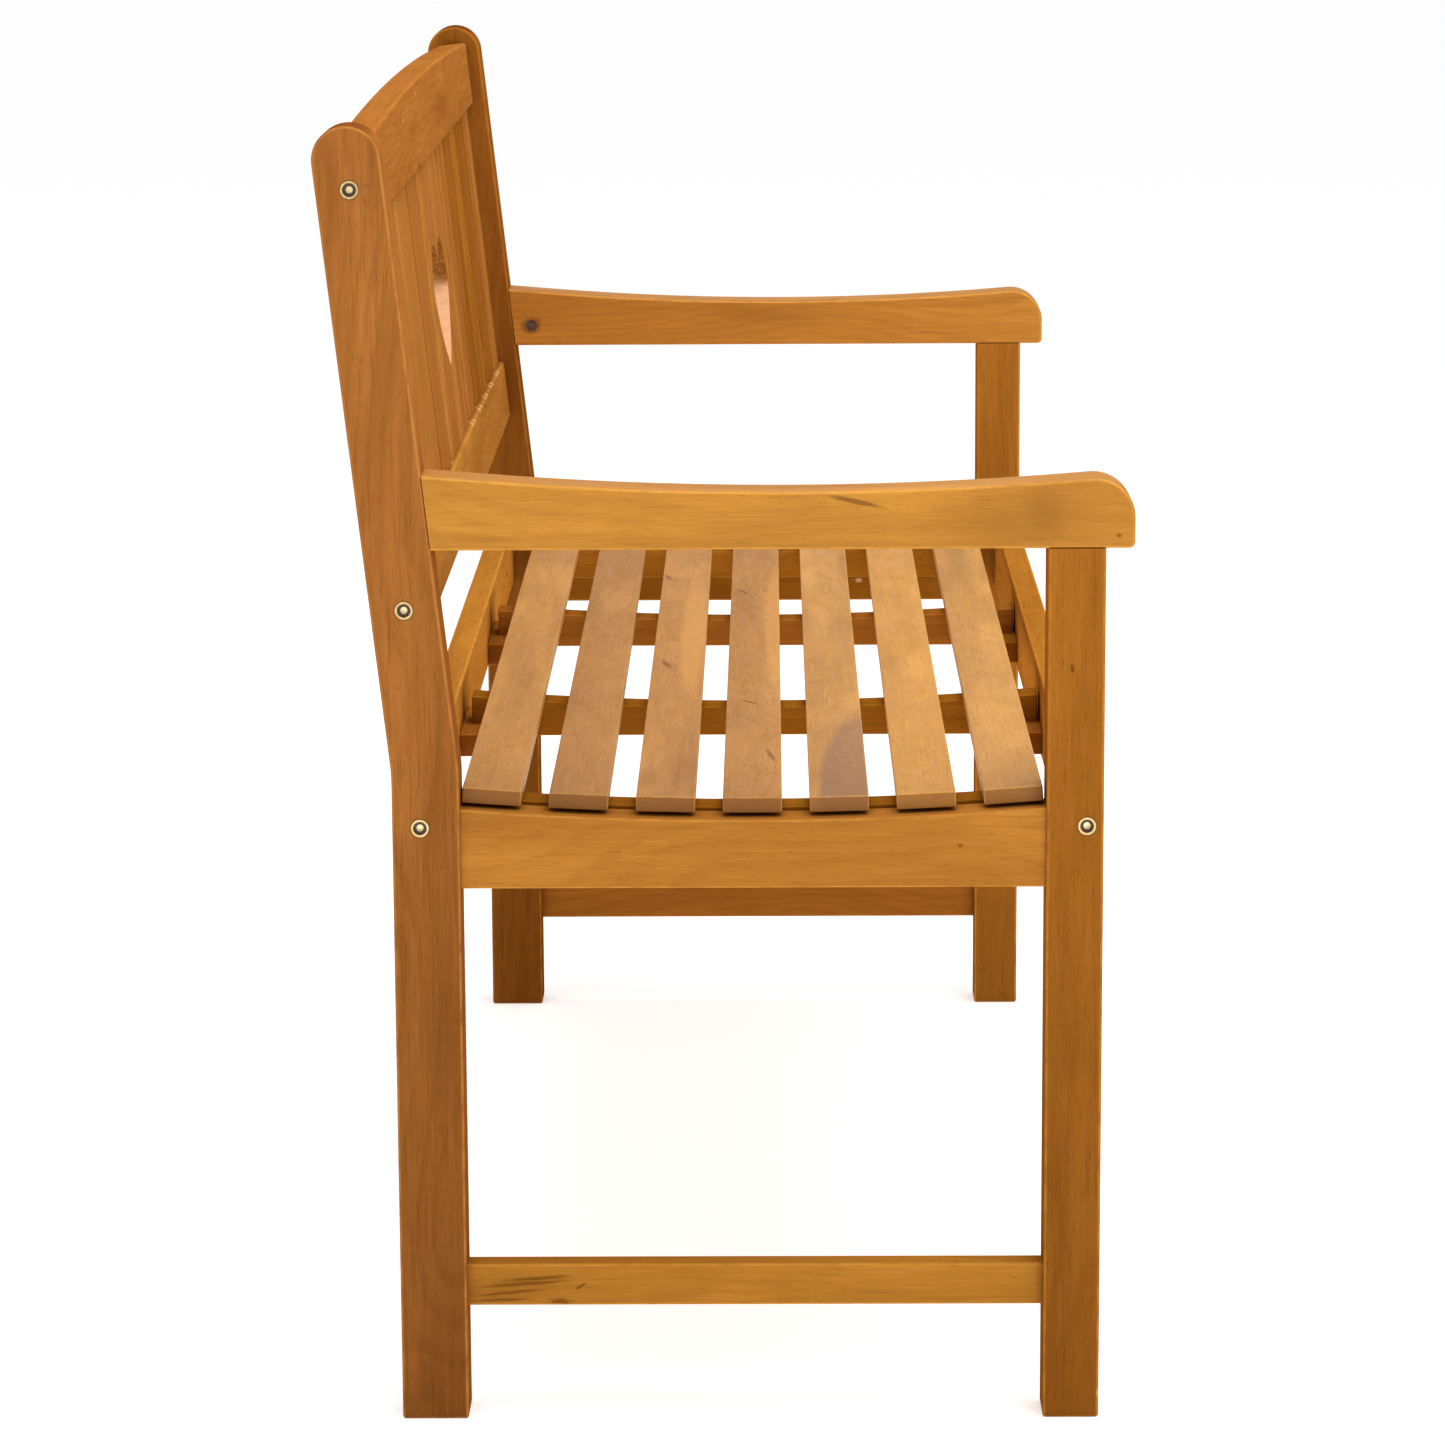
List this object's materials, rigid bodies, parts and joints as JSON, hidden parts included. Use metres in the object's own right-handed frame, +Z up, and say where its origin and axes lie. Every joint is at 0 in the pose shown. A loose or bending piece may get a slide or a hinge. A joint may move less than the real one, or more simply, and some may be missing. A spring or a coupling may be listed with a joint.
{
  "type": "garden bench",
  "caption": "Wooden garden bench with armrests, a dished slatted seat and a raked back of upright boards around a heart cut-out.",
  "frame": {"origin": "on the floor under the centre of the bench's bounding box", "axes": "+X along the bench's length, +Z up, the sitter faces -Y and the raked back is at +Y"},
  "size_m": [1.2008, 0.5508, 0.9],
  "materials": {
    "frame_wood": "oiled",
    "armrest_wood": "oiled",
    "back_wood": "oiled",
    "seat_wood": "oiled",
    "bearer_wood": "oiled",
    "dowel_wood": "raw",
    "bolt_brass": "satin",
    "zinc_steel": "satin"
  },
  "bodies": {
    "root": {"rear_post_left": "frame_wood", "rear_post_right": "frame_wood", "front_leg_left": "frame_wood", "front_leg_right": "frame_wood", "side_rail_left": "frame_wood", "side_rail_right": "frame_wood", "side_stretcher_left": "frame_wood", "side_stretcher_right": "frame_wood", "seat_front_rail": "frame_wood", "seat_rear_rail": "frame_wood", "armrest_left": "armrest_wood", "armrest_right": "armrest_wood", "back_top_rail": "back_wood", "back_bottom_rail": "back_wood", "back_heart_board": "back_wood", "back_board_1": "back_wood", "back_board_2": "back_wood", "back_board_3": "back_wood", "back_board_4": "back_wood", "back_board_5": "back_wood", "back_board_6": "back_wood", "back_board_7": "back_wood", "back_board_8": "back_wood", "back_board_9": "back_wood", "seat_slat_1": "seat_wood", "seat_slat_2": "seat_wood", "seat_slat_3": "seat_wood", "seat_slat_4": "seat_wood", "seat_slat_5": "seat_wood", "seat_slat_6": "seat_wood", "seat_slat_7": "seat_wood", "end_bearer_left": "bearer_wood", "end_bearer_right": "bearer_wood", "middle_bearer_left": "bearer_wood", "middle_bearer_right": "bearer_wood", "cleat_front_left": "bearer_wood", "cleat_front_right": "bearer_wood", "cleat_rear_left": "bearer_wood", "cleat_rear_right": "bearer_wood", "rail_dowels": "dowel_wood", "armrest_dowels": "dowel_wood", "seat_rail_bolts": "bolt_brass", "back_rail_bolts": "bolt_brass", "armrest_bolts": "bolt_brass", "seat_rail_nuts": "zinc_steel", "back_rail_nuts": "zinc_steel", "armrest_nuts": "zinc_steel", "seat_slat_screws": "zinc_steel", "end_bearer_screws": "zinc_steel", "cleat_screws": "zinc_steel"}
  },
  "joints": []
}
